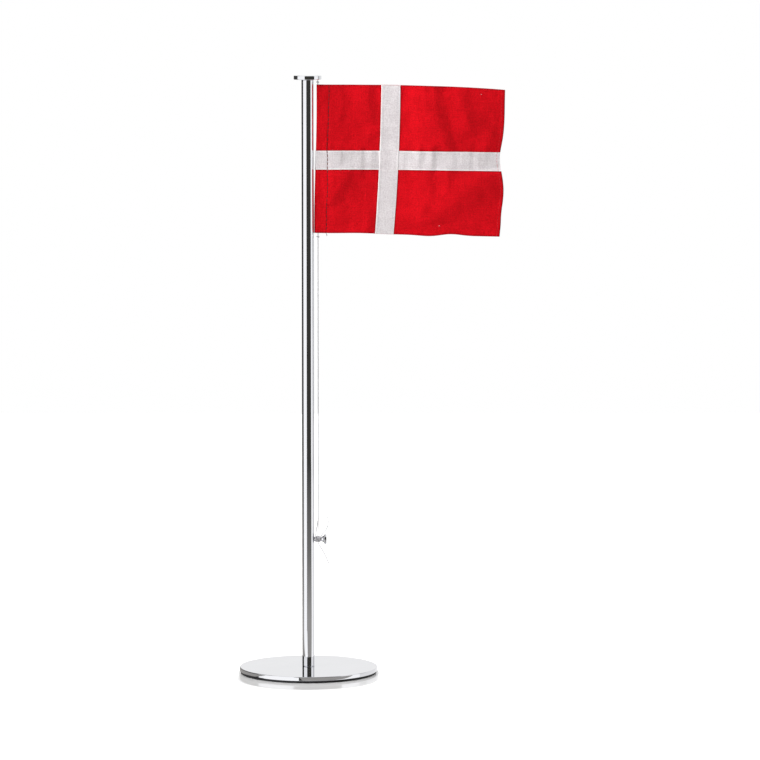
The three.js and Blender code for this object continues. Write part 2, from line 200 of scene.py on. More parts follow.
def add(nodes, kind, **values):
    node = nodes.new(kind)
    for key, value in values.items():
        if key in node.inputs:
            node.inputs[key].default_value = value
        else:
            setattr(node, key, value)
    return node


def object_coordinates(nodes, links, scale=(1, 1, 1)):
    coordinates = add(nodes, "ShaderNodeTexCoord")
    mapping = add(nodes, "ShaderNodeMapping")
    mapping.inputs["Scale"].default_value = scale
    links.new(coordinates.outputs["Object"], mapping.inputs["Vector"])
    return mapping.outputs["Vector"]


def noise(nodes, links, vector, scale, detail=3.0, roughness=0.55):
    node = add(nodes, "ShaderNodeTexNoise", Scale=scale, Detail=detail, Roughness=roughness)
    links.new(vector, node.inputs["Vector"])
    return node.outputs["Fac"]


def ramp(nodes, links, value, stops):
    """A colour ramp; stops holds (position, colour) pairs."""
    node = add(nodes, "ShaderNodeValToRGB")
    elements = node.color_ramp.elements
    while len(elements) < len(stops):
        elements.new(0.5)
    for element, (position, colour) in zip(elements, stops):
        element.position = position
        element.color = (*colour, 1.0)
    links.new(value, node.inputs["Fac"])
    return node.outputs["Color"]


def remap(nodes, links, value, low, high, new_low, new_high):
    node = add(nodes, "ShaderNodeMapRange")
    for key, number in zip(("From Min", "From Max", "To Min", "To Max"), (low, high, new_low, new_high)):
        node.inputs[key].default_value = number
    links.new(value, node.inputs["Value"])
    return node.outputs["Result"]


def bump(nodes, links, height, strength, distance, under=None):
    node = add(nodes, "ShaderNodeBump", Strength=strength, Distance=distance)
    links.new(height, node.inputs["Height"])
    if under is not None:
        links.new(under, node.inputs["Normal"])
    return node.outputs["Normal"]


def math_node(nodes, links, operation, first, second=None):
    node = add(nodes, "ShaderNodeMath", operation=operation)
    for socket, value in zip(node.inputs, (first, second)):
        if value is None:
            continue
        if isinstance(value, (int, float)):
            socket.default_value = value
        else:
            links.new(value, socket)
    return node.outputs[0]


def steel(name, colour, roughness, grain_scale, grain_strength):
    """Polished or turned steel: faint smears in the gloss and a very fine grain."""
    material, nodes, links, shader = new_material(name)
    vector = object_coordinates(nodes, links)
    smears = noise(nodes, links, vector, 55.0, 4.0)
    dust = noise(nodes, links, vector, 900.0, 2.0)
    tint = ramp(nodes, links, smears, [(0.3, [c * 0.97 for c in colour]), (0.7, colour)])
    links.new(tint, shader.inputs["Base Color"])
    gloss = remap(nodes, links, smears, 0.35, 0.75, roughness, roughness * 1.7)
    links.new(gloss, shader.inputs["Roughness"])
    grain = object_coordinates(nodes, links, grain_scale)
    lines = noise(nodes, links, grain, 1.0, 2.0, 0.4)
    first = bump(nodes, links, lines, grain_strength, 0.00002)
    links.new(bump(nodes, links, dust, grain_strength * 0.4, 0.00001, first), shader.inputs["Normal"])
    shader.inputs["Metallic"].default_value = 1.0
    return material


def rubber():
    material, nodes, links, shader = new_material("pad_rubber")
    vector = object_coordinates(nodes, links)
    cells = add(nodes, "ShaderNodeTexVoronoi", Scale=2600.0)
    links.new(vector, cells.inputs["Vector"])
    patches = noise(nodes, links, vector, 120.0)
    links.new(ramp(nodes, links, patches, [(0.3, (0.008, 0.008, 0.009)), (0.75, (0.02, 0.02, 0.021))]),
              shader.inputs["Base Color"])
    links.new(bump(nodes, links, cells.outputs["Distance"], 0.6, 0.0001), shader.inputs["Normal"])
    links.new(remap(nodes, links, patches, 0.3, 0.7, 0.82, 0.95), shader.inputs["Roughness"])
    return material


def nylon(name, dark, light):
    """Clear nylon: streaks along its length, a wet gloss and some light through it."""
    material, nodes, links, shader = new_material(name)
    vector = object_coordinates(nodes, links, (1, 1, 0.2))
    streaks = noise(nodes, links, vector, 1500.0, 2.0)
    links.new(ramp(nodes, links, streaks, [(0.3, dark), (0.7, light)]), shader.inputs["Base Color"])
    links.new(remap(nodes, links, streaks, 0.3, 0.7, 0.12, 0.24), shader.inputs["Roughness"])
    links.new(bump(nodes, links, streaks, 0.2, 0.00002), shader.inputs["Normal"])
    shader.inputs["Transmission Weight"].default_value = 0.3
    shader.inputs["IOR"].default_value = 1.5
    return material


def woven(name, dark, light, edge, attribute, pitch, roughness, strength, rib=1.0):
    """Plain-woven cloth in the XZ plane: two crossing sets of threads pitch apart, in metres;
    rib over 1 makes the upright threads finer. The colour turns to edge where the mesh attribute is 1:
    painted shade on the red cloth beside its ribbons and edges, a painted highlight along the white ribbon's
    edges."""
    material, nodes, links, shader = new_material(name)
    turn = 2 * math.pi / pitch
    split = add(nodes, "ShaderNodeSeparateXYZ")
    links.new(object_coordinates(nodes, links), split.inputs["Vector"])
    vector = object_coordinates(nodes, links)
    wander = noise(nodes, links, vector, 260.0, 2.0)
    shift = math_node(nodes, links, "MULTIPLY", wander, 1.6)
    across = math_node(nodes, links, "MULTIPLY", split.outputs["X"], turn * rib)
    upwards = math_node(nodes, links, "MULTIPLY", split.outputs["Z"], turn)
    wave_x = math_node(nodes, links, "SINE", math_node(nodes, links, "ADD", across, shift))
    wave_z = math_node(nodes, links, "SINE", math_node(nodes, links, "ADD", upwards, shift))
    weave = math_node(nodes, links, "MULTIPLY", wave_x, wave_z)
    slubs = noise(nodes, links, object_coordinates(nodes, links, (1, 1, 14)), 120.0, 3.0)
    lanes = noise(nodes, links, object_coordinates(nodes, links, (14, 1, 1)), 120.0, 3.0)
    mottle = noise(nodes, links, vector, 75.0, 4.0)
    mixed = math_node(nodes, links, "ADD", math_node(nodes, links, "MULTIPLY", slubs, 0.5),
                      math_node(nodes, links, "MULTIPLY", lanes, 0.5))
    fuzz = noise(nodes, links, vector, 1400.0, 1.0)
    cloud = math_node(nodes, links, "ADD", math_node(nodes, links, "MULTIPLY", fuzz, 0.4),
                      math_node(nodes, links, "MULTIPLY", mottle, 0.2))
    blend = math_node(nodes, links, "ADD", math_node(nodes, links, "MULTIPLY", mixed, 0.4), cloud)
    tone = math_node(nodes, links, "ADD", blend, math_node(nodes, links, "MULTIPLY", weave, 0.05))
    # On the red cloth the light end of this ramp is paler and less saturated: partly the cloth's own cloudy
    # tone, partly a painted sheen, scattered at random by the noise.
    body = ramp(nodes, links, tone, [(0.38, dark), (0.62, light)])
    mix = add(nodes, "ShaderNodeMix", data_type="RGBA")
    where = add(nodes, "ShaderNodeAttribute", attribute_name=attribute)
    # The attribute mixes in the edge colour: painted shade on the red cloth, a painted highlight on the
    # white ribbon.
    links.new(math_node(nodes, links, "MULTIPLY", where.outputs["Fac"], 0.8), mix.inputs["Factor"])
    links.new(body, mix.inputs[6])
    links.new(ramp(nodes, links, tone, [(0.36, [c * 0.93 for c in edge]), (0.62, edge)]), mix.inputs[7])
    links.new(mix.outputs[2], shader.inputs["Base Color"])
    first = bump(nodes, links, weave, strength, 0.00006)
    second = bump(nodes, links, mixed, strength * 0.6, 0.00012, first)
    links.new(second, shader.inputs["Normal"])
    links.new(remap(nodes, links, mottle, 0.3, 0.7, roughness, roughness + 0.1), shader.inputs["Roughness"])
    shader.inputs["Specular IOR Level"].default_value = 0.1
    return material


def thread(name, dark, light):
    material, nodes, links, shader = new_material(name)
    vector = object_coordinates(nodes, links, (1, 1, 1))
    fibres = add(nodes, "ShaderNodeTexWave", Scale=900.0, Distortion=3.0)
    fibres.bands_direction = "DIAGONAL"
    links.new(vector, fibres.inputs["Vector"])
    links.new(ramp(nodes, links, fibres.outputs["Fac"], [(0.2, dark), (0.8, light)]),
              shader.inputs["Base Color"])
    links.new(bump(nodes, links, fibres.outputs["Fac"], 0.5, 0.00005), shader.inputs["Normal"])
    links.new(remap(nodes, links, fibres.outputs["Fac"], 0, 1, 0.55, 0.75), shader.inputs["Roughness"])
    return material


MIRROR = steel("polished_steel", (0.70, 0.705, 0.73), 0.035, (40, 40, 4000), 0.03)
TURNED = steel("plain_steel", (0.6, 0.61, 0.63), 0.32, (300, 300, 9000), 0.3)
RUBBER = rubber()
LINE = nylon("nylon_line", (0.60, 0.59, 0.63), (0.70, 0.69, 0.72))
KNOTS = nylon("nylon_knots", (0.90, 0.89, 0.93), (0.97, 0.96, 0.99))
# The red's edge colour (0.24, 0, 0.004) is painted shade, laid beside the ribbons and along the cloth's
# edges by the mesh attribute.
RED = woven("red_cloth", (0.55, 0.0008, 0.005), (0.84, 0.0050, 0.014), (0.24, 0.0, 0.004), "painted_edge_shade",
            0.00052, 0.8, 0.7)
# The white ribbon's edge colour (0.98, 0.96, 0.97) is a painted highlight along the ribbon's edges.
WHITE = woven("white_ribbon", (0.68, 0.625, 0.645), (0.92, 0.88, 0.895), (0.98, 0.96, 0.97), "selvedge",
              0.00062, 0.7, 0.7, 2.0)
RED_THREAD = thread("red_thread", (0.07, 0.0, 0.003), (0.16, 0.002, 0.006))
HEM_THREAD = thread("hem_thread", (0.55, 0.01, 0.02), (0.8, 0.03, 0.045))
WHITE_THREAD = thread("white_thread", (0.62, 0.59, 0.61), (0.86, 0.84, 0.85))
EDGE = thread("cut_edge", (0.34, 0.001, 0.006), (0.5, 0.004, 0.013))


def dress(obj, material, body, slot, *replaced):
    obj.data.materials.clear()
    obj.data.materials.append(material)
    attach(obj, body)
    if replaced:
        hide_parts(*replaced)
    return obj


# ---------------------------------------------------------------- camera

CAMERA_LENS = 215.5
CAMERA_PLACE = (0.0468, -2.945, 0.4829)
CAMERA_DOWNWARD_DEGREES = 5.636


def make_camera():
    data = bpy.data.cameras.new("camera")
    data.lens = CAMERA_LENS
    data.clip_end = 100
    camera = bpy.data.objects.new("camera", data)
    camera.location = CAMERA_PLACE
    camera.rotation_euler = (math.radians(90 - CAMERA_DOWNWARD_DEGREES), 0, 0)
    scene.collection.objects.link(camera)
    scene.camera = camera


make_camera()


# ---------------------------------------------------------------- halyard

# Two runs of line stand at LINE_X, LINE_GAP in front of and behind the pole's middle plane.
LINE_X = 6.6
LINE_GAP = 0.3
LINE_RADIUS = 0.25
ARCH_Z = 388.7
ARCH_SLANT_DEGREES = 20
CLEAT_Z = 88.0
NECK_RADIUS = 1.5
WRAP_RADIUS = NECK_RADIUS + LINE_RADIUS + 0.02
WRAP_PITCH = 0.56
FRONT_WRAP_X = 4.8
FRONT_WRAPS = 2
REAR_WRAP_X = 6.3
REAR_WRAPS = 2.5


def wraps(side, start_x, turns, steps=20):
    """Turns of line round the cleat's neck, outwards from start_x; side is 1 or -1 along Y."""
    count = round(turns * steps)
    points = []
    for i in range(count + 1):
        turn = i / steps
        angle = 2 * math.pi * turn
        points.append((start_x + WRAP_PITCH * turn,
                       side * WRAP_RADIUS * math.cos(angle),
                       CLEAT_Z - WRAP_RADIUS * math.sin(angle)))
    return points


def arch_leg():
    """Up from below the cap to the crown of the arch in it, on the side +Y."""
    slant = math.radians(ARCH_SLANT_DEGREES)
    points = [(LINE_X, LINE_GAP, 386.4), (LINE_X, LINE_GAP + 0.06, 386.8)]
    for i in range(6):
        angle = -slant + (math.pi / 2 + slant) * i / 5
        points.append((LINE_X, math.cos(angle), ARCH_Z + math.sin(angle)))
    return points


def halyard_route():
    """From the tail below the cleat, round it, up, over in the cap, down, and out to the other tail."""
    lower_tail = [(13.5, -1.0, 71.8), (12.5, -1.2, 74.2), (11.4, -1.4, 76.7), (9.9, -1.6, 79.7),
                  (8.2, -1.8, 82.7), (6.8, -1.9, 85.1), (6.1, -1.85, 86.7)]
    front_lead = [(4.84, -1.75, 89.6), (5.2, -1.45, 93.5), (6.2, -0.7, 99.5), (LINE_X, -LINE_GAP, 104)]
    rear_lead = [(LINE_X, LINE_GAP, 104), (6.5, 0.7, 99.5), (6.36, 1.45, 93.5), (6.3, 1.75, 89.6)]
    upper_tail = [(7.86, -1.85, 89.3), (8.7, -1.9, 90.8), (10.2, -1.8, 92.6), (11.7, -1.6, 94.4),
                  (12.7, -1.4, 96.7), (13.0, -1.2, 99.0), (12.9, -1.0, 101.1), (12.6, -0.9, 103.0)]
    leg = arch_leg()
    run = [(LINE_X, LINE_GAP, z) for z in (110, 160, 240, 320, 370, 385)]
    front = [(x, -y, z) for x, y, z in run]
    return [
        *lower_tail,
        *wraps(-1, FRONT_WRAP_X, FRONT_WRAPS)[::-1],
        *front_lead,
        *front,
        *[(x, -y, z) for x, y, z in leg],
        *leg[:-1][::-1],
        *run[::-1],
        *rear_lead,
        *wraps(1, REAR_WRAP_X, REAR_WRAPS),
        *upper_tail,
    ]


def make_halyard():
    line = smooth_path(halyard_route(), 3)
    data = bpy.data.curves.new("halyard_line", "CURVE")
    data.dimensions = "3D"
    data.bevel_depth = LINE_RADIUS * MM
    data.bevel_resolution = 3
    data.use_fill_caps = True
    spline = data.splines.new("POLY")
    spline.points.add(len(line) - 1)
    spline.points.foreach_set("co", np.hstack([line * MM, np.ones((len(line), 1))]).ravel())
    spline.use_smooth = True
    obj = bpy.data.objects.new("halyard_line", data)
    scene.collection.objects.link(obj)
    dress(obj, LINE, "stand", "nylon_line", "halyard")


make_halyard()


# ---------------------------------------------------------------- base, pole, cap and cleat

PLATE_EDGE = 0.45
PLATE_HOLE = 4.0
POLE_BORE = 3.2
POLE_CHAMFER = 0.15
CAP_THICKNESS = 2.6
CAP_EDGE = 0.35
SPIGOT_RADIUS = 3.1
CHANNEL_RADIUS = 0.42
CHANNEL_SIDES = 16
FLARE_START = 8.2
FLARE_END = 10.4


def make_plate():
    low, high = box_mm("base_plate")
    rim = high[0] - PLATE_EDGE
    profile = [(PLATE_HOLE, low[2]), (rim - 1, low[2]), *arc(rim, low[2] + PLATE_EDGE, PLATE_EDGE, -90, 0),
               *arc(rim, high[2] - PLATE_EDGE, PLATE_EDGE, 0, 90), (rim - 0.4, high[2])]
    profile += [(r, high[2]) for r in (rim - 2, 36, 24, 12, 5, 3.0)]
    return dress(clean_edges(turned("plate_polished", profile, 256)), MIRROR, "stand",
                 "polished_steel", "base_plate")


def make_pad():
    low, high = box_mm("base_pad")
    radius = high[0]
    profile = [(0, low[2]), (radius * 0.5, low[2]), (radius - 0.35, low[2]),
               *arc(radius - 0.3, low[2] + 0.3, 0.3, -70, 0, 4),
               (radius - 0.06, 0.5 * (low[2] + high[2])), (radius, high[2] - 0.25),
               (radius - 0.2, high[2] - 0.02), (radius * 0.5, high[2] - 0.02), (0, high[2] - 0.02)]
    return dress(turned("pad_rubber_disc", profile, 160), RUBBER, "stand", "pad_rubber", "base_pad")


def make_pole():
    low, high = box_mm("pole_tube")
    radius = high[0]
    heights = np.linspace(low[2] + 1, high[2] - 1, 24)
    profile = [(POLE_BORE, low[2]), (radius - POLE_CHAMFER, low[2]), (radius, low[2] + POLE_CHAMFER)]
    profile += [(radius, z) for z in heights]
    profile += [(radius, high[2] - POLE_CHAMFER), (radius - POLE_CHAMFER, high[2]), (POLE_BORE, high[2])]
    profile += [(POLE_BORE, z) for z in heights[::-6]]
    profile.append((POLE_BORE, low[2]))
    obj = turned("pole_polished", profile, 96)
    return dress(clean_edges(obj), MIRROR, "stand", "polished_steel", "pole_tube")


def make_cap():
    """The flat cap with its spigot, and the channel in it that the line runs over."""
    low, high = box_mm("finial_cap")
    rim, bottom = high[0] - CAP_EDGE, high[2] - CAP_THICKNESS
    profile = [(0, low[2]), (SPIGOT_RADIUS - 0.3, low[2]), (SPIGOT_RADIUS, low[2] + 0.3),
               (SPIGOT_RADIUS, bottom - 0.2), (SPIGOT_RADIUS, bottom), (rim - 0.3, bottom),
               *arc(rim, bottom + CAP_EDGE, CAP_EDGE, -90, 0, 10),
               *arc(rim, high[2] - CAP_EDGE, CAP_EDGE, 0, 90, 10), (rim - 0.4, high[2]), (0, high[2])]
    cap = turned("cap_polished", profile, 160)
    leg = arch_leg()
    crown = leg[-1]
    for side in (1, -1):
        path = [(x, side * y, z) for x, y, z in [*leg, (crown[0], crown[1] - 0.3, crown[2])]]
        route = smooth_path(path, 3)
        points = tube_points(route, np.full(len(route), CHANNEL_RADIUS), CHANNEL_SIDES)
        faces = grid_faces(len(route), CHANNEL_SIDES, wrap=True)
        last = (len(route) - 1) * CHANNEL_SIDES
        faces += [tuple(range(CHANNEL_SIDES - 1, -1, -1)), tuple(range(last, last + CHANNEL_SIDES))]
        cutter = mesh_object("cutter", points, faces)
        modifier = cap.modifiers.new("channel", "BOOLEAN")
        modifier.operation, modifier.solver, modifier.object = "DIFFERENCE", "EXACT", cutter
        bpy.context.view_layer.update()
        evaluated = cap.evaluated_get(bpy.context.evaluated_depsgraph_get())
        cap.data = bpy.data.meshes.new_from_object(evaluated)
        cap.modifiers.clear()
        bpy.data.objects.remove(cutter)
    cap.data.shade_smooth()
    cap.data.set_sharp_from_angle(angle=math.radians(40))
    return dress(clean_edges(cap), MIRROR, "stand", "polished_steel", "finial_cap")


def make_cleat():
    low, high = box_mm("cleat_pin")
    head = high[2] - CLEAT_Z
    end = high[0]
    profile = [(0, low[0]), (1.0, low[0]), (1.2, low[0] + 0.25), (1.2, 4.0), (NECK_RADIUS - 0.1, 4.02),
               (NECK_RADIUS, 4.12), (NECK_RADIUS, 6.0), (NECK_RADIUS, FLARE_START - 0.5)]
    for i in range(13):
        share = i / 12
        profile.append((NECK_RADIUS + (head - 0.75 - NECK_RADIUS) * share ** 2.2,
                        lerp(FLARE_START, FLARE_END, share)))
    profile += [*arc(head - 0.3, FLARE_END + 0.32, 0.3, -80, 0, 5),
                *arc(head - 0.3, end - 0.3, 0.3, 0, 90, 6), (head - 0.6, end), (0, end)]
    obj = turned("cleat_polished", profile, 64, "X", (0, 0, CLEAT_Z))
    return dress(clean_edges(obj), MIRROR, "stand", "polished_steel", "cleat_pin")


make_plate()
make_pad()
make_pole()
make_cap()
make_cleat()
for hidden_node in ("base_screw", "pole_foot_plug", "cleat_plug"):
    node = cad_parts[hidden_node]
    node.data.materials.clear()
    node.data.materials.append(TURNED)


# ---------------------------------------------------------------- the hanging cloth

# Pairs are at the top and the foot of the flag, or FOOT_Z at the hoist and the fly.
HOIST_X = (5.76, 4.12)
FLY_X = (127.6, 124.1)
SEAM_X = (13.7, 12.1)
FOOT_Z = (288.3, 285.7)
POCKET = (0.76, 1.0)
HEM_LAYER = 0.25
CLOTH_HALF = 0.11
FOLD_GAIN = 1.3
RIBBON_WIDTH = 12.4
RIBBON_LAYER = 0.27
ROW_MM = 95.5
STITCH_PITCH = 3.2

# Folds that hang in the cloth: crest points (x, z), height towards the front, and the widths of
# its left and right flanks.
FOLDS = [
    ([(19.2, 384), (22.0, 373.5), (20.6, 364)], 0.28, 5.0, 2.0),
    ([(38.4, 384), (38.0, 372), (39.5, 363)], 0.95, 9.0, 4.6),
    ([(42.3, 353), (35.6, 345)], 0.4, 5.5, 2.8),
    ([(81.0, 386), (82.0, 366), (87.5, 345)], 1.45, 12.0, 6.2),
    ([(70.6, 384), (71.2, 365), (73.3, 344)], 0.5, 4.6, 9.0),
    ([(90.4, 351), (90.6, 343)], 0.35, 5.0, 2.6),
    ([(97.4, 379), (101.4, 368), (104.4, 354)], 0.9, 8.0, 5.0),
    ([(118.6, 351), (117.6, 343)], 0.45, 7.0, 3.4),
    ([(25.4, 327), (19.6, 317.5), (11.5, 309)], 1.1, 9.0, 5.2),
    ([(75.0, 327), (77.6, 315.5), (73.2, 302)], 0.6, 9.0, 4.6),
    ([(89.9, 327), (90.1, 316)], 0.45, 5.0, 2.8),
    ([(119.0, 325.5), (107.0, 318), (92.5, 306.5), (80.0, 297)], 1.35, 10.0, 8.6),
    ([(40.0, 302), (38.0, 288)], 0.4, 9.0, 5.0),
]
# Small puckers that the sewn level ribbon draws into the cloth: x and height.
PUCKERS = [(21.0, 0.2), (27.0, 0.22), (34.4, 0.42), (41.6, 0.2), (61.6, 0.2), (72.0, 0.34),
           (80.2, 0.5), (93.6, 0.3), (99.5, 0.2), (104.4, 0.34), (110.6, 0.2), (115.0, 0.3)]
RIPPLES = [(rng.uniform(0.25, 1.1), rng.uniform(0, math.pi), rng.uniform(0, 2 * math.pi))
           for _ in range(22)]


def fold(x, z, crest, height, left, right, fade=6.0):
    points = np.array(crest, float)
    curve = np.polyfit(points[:, 1], points[:, 0], min(2, len(points) - 1))
    inside = np.clip(z, points[:, 1].min() - fade, points[:, 1].max() + fade)
    slope = np.polyval(np.polyder(curve), inside)
    distance = (x - np.polyval(curve, inside)) / np.sqrt(1 + slope ** 2)
    width = np.where(distance < 0, left, right)
    top, bottom = points[:, 1].max(), points[:, 1].min()
    window = smoothstep(bottom - fade, bottom + 0.5, z) * (1 - smoothstep(top - 0.5, top + fade, z))
    return height * np.exp(-(distance / width) ** 2) * window


def drape(x, z):
    """How far the cloth stands back from the hoist line's plane, in mm, at a place in the flag."""
    x, z = np.asarray(x, float), np.asarray(z, float)
    back = 1.8 * smoothstep(66, 128, x) * (1 - 1.7 * smoothstep(340, 378, z))
    back = back + 0.8 * np.sin((x - 20) / 17.0 + (z - 336) / 60.0)
    for crest, height, left, right in FOLDS:
        back = back - fold(x, z, crest, height, left, right)
    for centre, height in PUCKERS:
        back = back - fold(x, z, [(centre, 342.5), (centre - 0.6, 327.5)], 1.15 * height, 4.4, 2.5, 5.0)
    fine = np.zeros_like(x + z)
    for pitch, turn, phase in RIPPLES:
        fine = fine + np.sin(pitch * (x * math.cos(turn) + z * math.sin(turn)) + phase) / (1 + 4 * pitch)
    back = back + 0.045 * fine
    return FOLD_GAIN * back * smoothstep(8.0, 17.0, x)


def hoist_x(down):
    return lerp(*HOIST_X, smoothstep(0.15, 0.95, down))


def fly_x(down):
    level = lerp(382.0, 287.0, down)
    wander = 0.0
    for centre, spread, amount in ((338, 10, -1.7), (315, 13, 1.7), (294, 7, 0.5), (362, 12, 0.4)):
        wander = wander + amount * np.exp(-((level - centre) / spread) ** 2)
    return lerp(*FLY_X, down) + wander


def edge_levels(along):
    """Heights of the top and bottom edges at a share of the way from hoist to fly."""
    along = np.clip(along, 0, 1.02)
    top = 384.05 - 0.3 * along - 3.1 * along ** 3.2
    foot = lerp(*FOOT_Z, along) + 0.5 * np.exp(-((along - 0.25) / 0.12) ** 2)
    foot = foot - 0.65 * np.exp(-((along - 0.62) / 0.07) ** 2) + 1.0 * np.exp(-((along - 0.74) / 0.07) ** 2)
    return top, foot


def level_at(x, down):
    """Height of a place in the flag, from its x and its share of the way down the hoist."""
    return lerp(*edge_levels((x - hoist_x(down)) / (fly_x(down) - hoist_x(down))), down)


def pocket(x, down, side):
    """Offset of a layer from the drape near the hoist. The front is nearly flat from the fold past
    the seam, fuller low down; the back layer rises round the line and comes in to the seam."""
    depth = lerp(*POCKET, down)
    seam = lerp(*SEAM_X, down)
    s = x - LINE_X
    ellipse = depth * np.sqrt(np.clip(1 - (s / (LINE_X - hoist_x(down) - CLOTH_HALF)) ** 2, 0, 1))
    low = smoothstep(0.52, 0.74, down)
    front = -depth * (1 - smoothstep(lerp(10.5, 7.2, low), lerp(38, 16, low), x))
    if side > 0:
        hem = HEM_LAYER * (1 - smoothstep(1.3, 2.8, x - seam))
        close = smoothstep(0.08, lerp(1.0, 0.75, down), s / (seam - LINE_X))
        front = lerp(depth, front + hem, close)
    return np.where(s < 0, side * ellipse, front)


def raw_point(x, down, side):
    z = level_at(x, down)
    groove = 0.16 * np.exp(-((x - lerp(*SEAM_X, down)) / 0.5) ** 2)
    y = drape(x, z) + pocket(x, down, side) - side * groove
    return np.stack(np.broadcast_arrays(x, y, z), axis=-1)


def place(x, down, side, lift=0.0):
    """Points on the front (side -1) or back (side 1) of the cloth's middle, lifted off it."""
    x, down = np.broadcast_arrays(np.asarray(x, float), np.asarray(down, float))
    step_x, step_d = 0.02, 0.0005
    inner = np.maximum(x, hoist_x(down) + CLOTH_HALF + 0.03)
    along = raw_point(inner + step_x, down, side) - raw_point(inner, down, side)
    below = raw_point(x, down + step_d, side) - raw_point(x, down - step_d, side)
    normal = np.cross(along, below)
    normal /= np.linalg.norm(normal, axis=-1, keepdims=True)
    normal *= np.where(normal[..., 1:2] * side < 0, -1.0, 1.0)
    return raw_point(x, down, side) + normal * np.asarray(lift)[..., None]


def sleeve_columns(down, count):
    """x places from the sleeve's fold to the line, closer together at the fold."""
    reach = LINE_X - hoist_x(down) - CLOTH_HALF
    angle = np.linspace(0.0, math.pi / 2, count)
    return LINE_X - reach * np.cos(angle)


def edge_shade(x, down):
    """1 where the red is painted darker, a painted shade beside a ribbon and at the cloth's own edges, 0 in
    the open.
    """
    top, bottom = bar_edges(x)
    left, right = upright_edges(down)
    bar = np.maximum(top - down, down - bottom) * ROW_MM
    upright = np.maximum(left - x, x - right)
    rim = np.minimum(np.minimum(down, 1 - down) * ROW_MM, fly_x(down) - x)
    return 1 - smoothstep(0.0, 0.9, np.minimum(np.minimum(bar, upright), rim))


def make_field(rows=150, fly_columns=190):
    """The red cloth: one layer that folds back at the hoist and is sewn down behind itself."""
    points, shade = [], []
    for row in range(rows + 1):
        down = row / rows
        seam = lerp(*SEAM_X, down)
        near = sleeve_columns(down, 11)
        back = np.concatenate([np.linspace(seam + 1.2, LINE_X, 16)[:-1], near[::-1]])
        front = np.concatenate([near[1:], np.linspace(LINE_X, fly_x(down), fly_columns)[1:]])
        points.append(np.vstack([place(back, down, 1), place(front, down, -1)]))
        shade.append(edge_shade(np.concatenate([back, front]), down))
    points = np.array(points)
    columns = points.shape[1]
    obj = mesh_object("flag_cloth", points.reshape(-1, 3), grid_faces(rows + 1, columns))
    # Painted shade: this attribute darkens the red next to the ribbons and at the cloth's edges.
    set_attribute(obj, "painted_edge_shade", np.array(shade).ravel())
    thickness = obj.modifiers.new("thickness", "SOLIDIFY")
    thickness.thickness = 2 * CLOTH_HALF * MM
    thickness.offset = 0
    return dress(obj, RED, "flag", "red_cloth", "flag_field")


# ---------------------------------------------------------------- ribbons and stitching
def bar_edges(x):
    """Shares of the way down at which the level ribbon starts and ends."""
    top, foot = edge_levels((x - hoist_x(0.5)) / (fly_x(0.5) - hoist_x(0.5)))
    start = 341.45 - 1.3 * (np.clip(x, 0, None) / 125.0) ** 2.2
    return (top - start) / (top - foot), (top - start + RIBBON_WIDTH - 0.15) / (top - foot)


def upright_edges(down):
    return 47.75 - 1.3 * down - 2.8 * down ** 2, 60.1 - 0.6 * down - 3.9 * down ** 2


def bar_cover(x, down, spread=0.3):
    top, bottom = bar_edges(x)
    return smoothstep(-spread, 0.05, np.minimum(down - top, bottom - down) * ROW_MM)


def upright_cover(x, down, spread=0.3):
    left, right = upright_edges(down)
    return smoothstep(-spread, 0.05, np.minimum(x - left, right - x))


def ribbon_height(share, along):
    """Thickness of a ribbon: rounded edges, a firmer selvedge and shallow dips at its stitches."""
    edge = np.minimum(share, 1 - share) * RIBBON_WIDTH
    height = 0.08 + 0.15 * smoothstep(0, 0.14, edge) + 0.05 * np.exp(-((edge - 0.5) / 0.32) ** 2)
    dip = 0.5 - 0.5 * np.cos(2 * math.pi * along / STITCH_PITCH)
    return height - 0.07 * np.exp(-((edge - 2.0) / 0.45) ** 2) * dip ** 3


def ribbon_shares():
    edge = np.array([0, 0.05, 0.14, 0.3, 0.5, 0.75, 1.1, 1.5, 2.0, 2.5]) / RIBBON_WIDTH
    return np.concatenate([edge, np.linspace(edge[-1], 1 - edge[-1], 14)[1:-1], 1 - edge[::-1]])


def ribbon(name, side, x, down, along, share, raised, node):
    """A woven tape laid on one side of the cloth, as a closed solid."""
    base = CLOTH_HALF + 0.015 + raised
    outer = place(x, down, side, base + ribbon_height(share, along))
    inner = place(x, down, side, base)
    rows, columns = outer.shape[:2]
    layer = rows * columns
    points = np.vstack([outer.reshape(-1, 3), inner.reshape(-1, 3)])
    faces = grid_faces(rows, columns)
    faces += [tuple(i + layer for i in face[::-1]) for face in faces]
    border = [*range(columns), *range(2 * columns - 1, layer, columns),
              *range(layer - 2, layer - columns - 1, -1), *range(layer - 2 * columns, 0, -columns)]
    faces += [(b, a, a + layer, b + layer) for a, b in zip(border, border[1:] + border[:1])]
    obj = mesh_object(name, points, faces, sharp_angle=60)
    edge = np.minimum(share, 1 - share) * RIBBON_WIDTH + 0.0 * x
    # Painted highlight: the selvedge attribute makes the ribbon lighter within about a millimetre of its
    # edges.
    set_attribute(obj, "selvedge", np.tile((1 - smoothstep(0.25, 0.95, edge)).ravel(), 2))
    return dress(obj, WHITE, "flag", "white_ribbon", node)


def bar_grid(steps=250):
    share = ribbon_shares()[None, :]
    turn = np.linspace(0, math.pi / 2, 9)[:-1]
    run = np.linspace(0, 1, steps)
    x, down = [], []
    for angle in turn:
        row = lerp(*bar_edges(5.3), share[0])
        x.append(LINE_X - (LINE_X - hoist_x(row) - CLOTH_HALF) * math.cos(angle))
        down.append(row)
    for s in run:
        place_x = lerp(LINE_X, fly_x(0.49) + 0.05, s)
        row = lerp(*bar_edges(place_x), share[0])
        x.append(lerp(LINE_X, fly_x(row) + 0.05, s))
        down.append(row)
    return np.array(x), np.array(down), share


